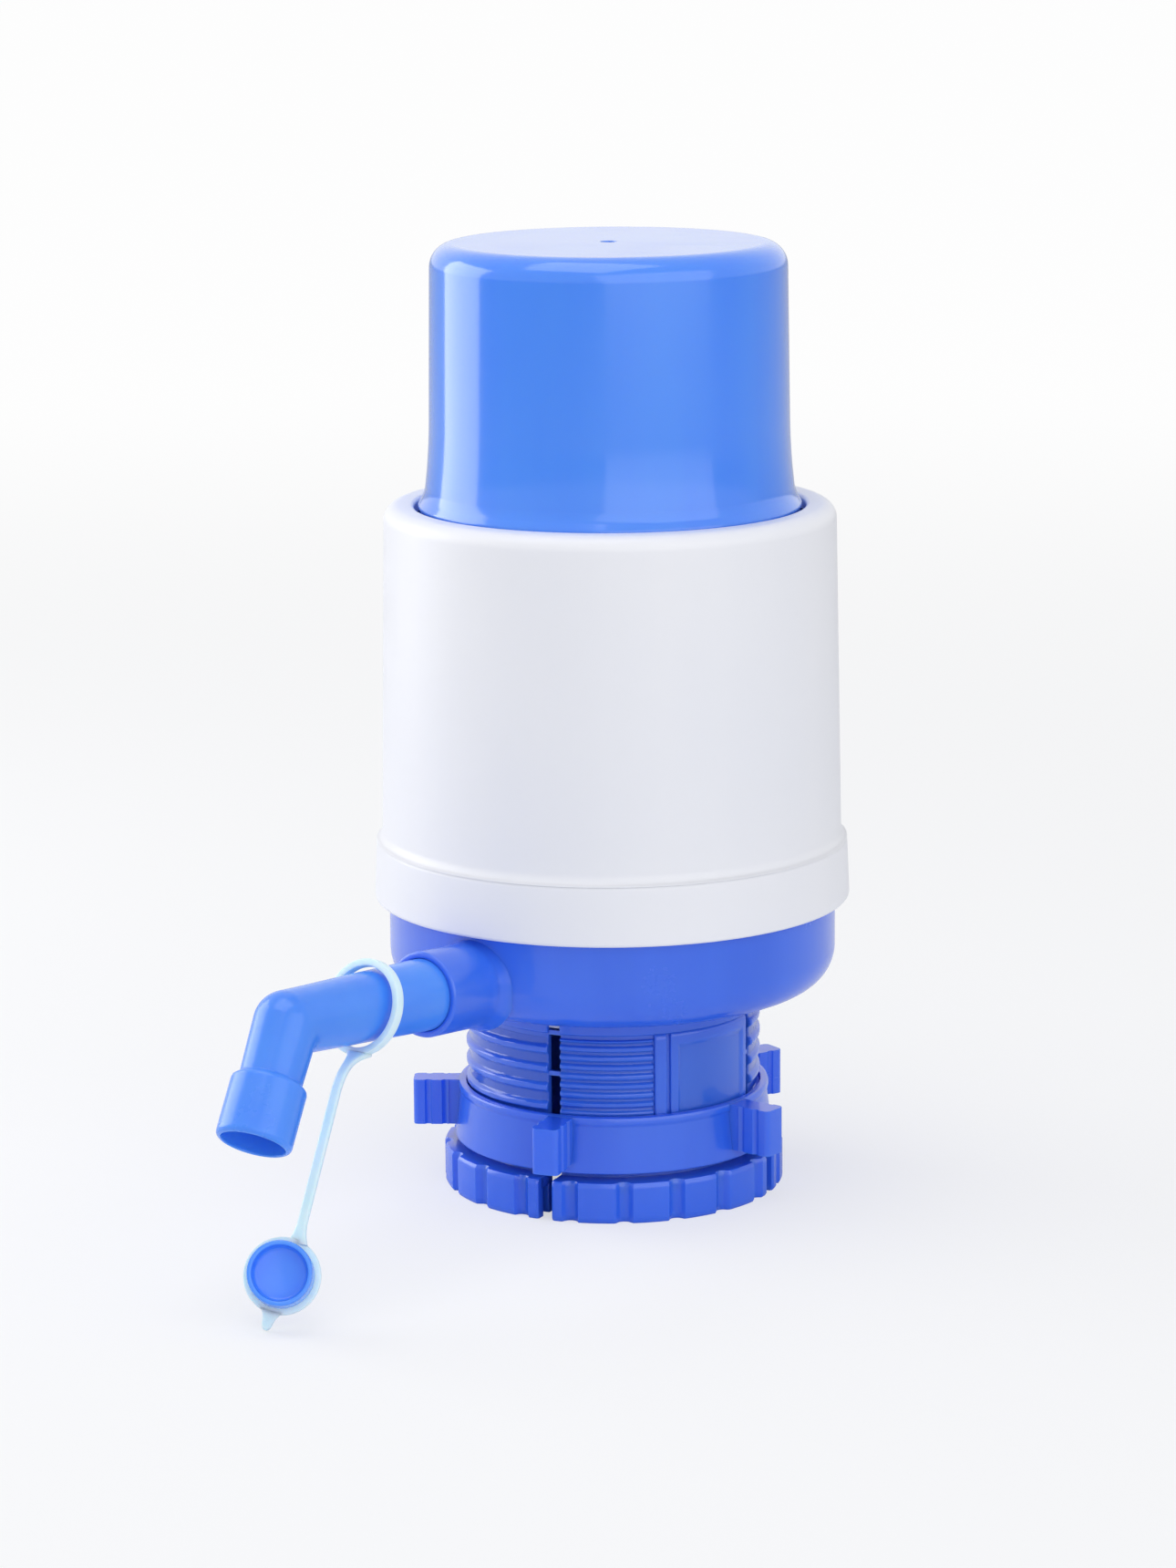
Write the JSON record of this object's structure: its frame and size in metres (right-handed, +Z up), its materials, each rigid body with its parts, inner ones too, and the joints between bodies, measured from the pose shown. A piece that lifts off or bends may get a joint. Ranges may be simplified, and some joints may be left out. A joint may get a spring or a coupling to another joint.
{
  "type": "manual water bottle pump",
  "caption": "Hand-pressed pump for a large water bottle: blue press cap over a bellows in a white housing, cup with bent spout, slotted neck collar and clamp ring.",
  "frame": {"origin": "on the axis of the bottle's neck, at the underside of the toothed foot", "axes": "+Z up along the neck's axis and the press cap's stroke, the spout points along -X"},
  "size_m": [0.1711, 0.0964, 0.192],
  "materials": {
    "blue_gloss": "gloss",
    "blue_satin": "satin",
    "blue_spout": "gloss",
    "white_satin": "satin",
    "natural_plastic": "satin",
    "bellows_plastic": "satin",
    "seal_rubber": "matte",
    "gasket_foam": "matte",
    "screw_steel": "brushed",
    "pale_strap": "satin"
  },
  "bodies": {
    "base": {"housing": "white_satin", "base_cup": "blue_satin", "plate_seal": "seal_rubber", "valve_plate": "natural_plastic", "bellows_clamp_ring": "natural_plastic", "plate_screws": "screw_steel", "air_valve_cage": "natural_plastic", "riser_elbow": "natural_plastic", "riser_o_ring": "seal_rubber", "neck_collar": "blue_satin", "neck_gasket": "gasket_foam", "bellows": "bellows_plastic"},
    "cap": {"press_cap": "blue_gloss", "intake_valve_cage": "natural_plastic"},
    "intake_valve": {"intake_valve_disc": "seal_rubber"},
    "air_valve": {"air_valve_disc": "seal_rubber"},
    "ring": {"clamp_ring": "blue_satin"},
    "spout": {"spout": "blue_spout", "spout_o_ring": "seal_rubber"},
    "tether": {"tether": "pale_strap", "stopper": "blue_spout"}
  },
  "joints": [
    {"name": "cap_press", "type": "slide", "parent": "base", "child": "cap", "axis": [0, 0, 1], "range_m": [-0.04, 0], "stiffness_N_per_m": 600, "springref_m": 0.006, "deforming": ["bellows"]},
    {"name": "intake_valve_lift", "type": "slide", "parent": "cap", "child": "intake_valve", "axis": [0, 0, 1], "range_m": [0, 0.0012]},
    {"name": "air_valve_lift", "type": "slide", "parent": "base", "child": "air_valve", "axis": [0, 0, 1], "range_m": [0, 0.0016]},
    {"name": "clamp_ring_turn", "type": "hinge", "parent": "base", "child": "ring", "pos_m": [0, 0, 0.01525], "axis": [0, 0, 1], "range_deg": [0, 900]},
    {"name": "spout_swivel", "type": "hinge", "parent": "base", "child": "spout", "pos_m": [0, 0, 0.0466], "axis": [-0.9976, 0, 0.0698], "range_deg": [-100, 80]},
    {"name": "tether_swing", "type": "hinge", "parent": "base", "child": "tether", "pos_m": [0, 0, 0.0466], "axis": [-0.9976, 0, 0.0698], "range_deg": [-150, 150]}
  ]
}
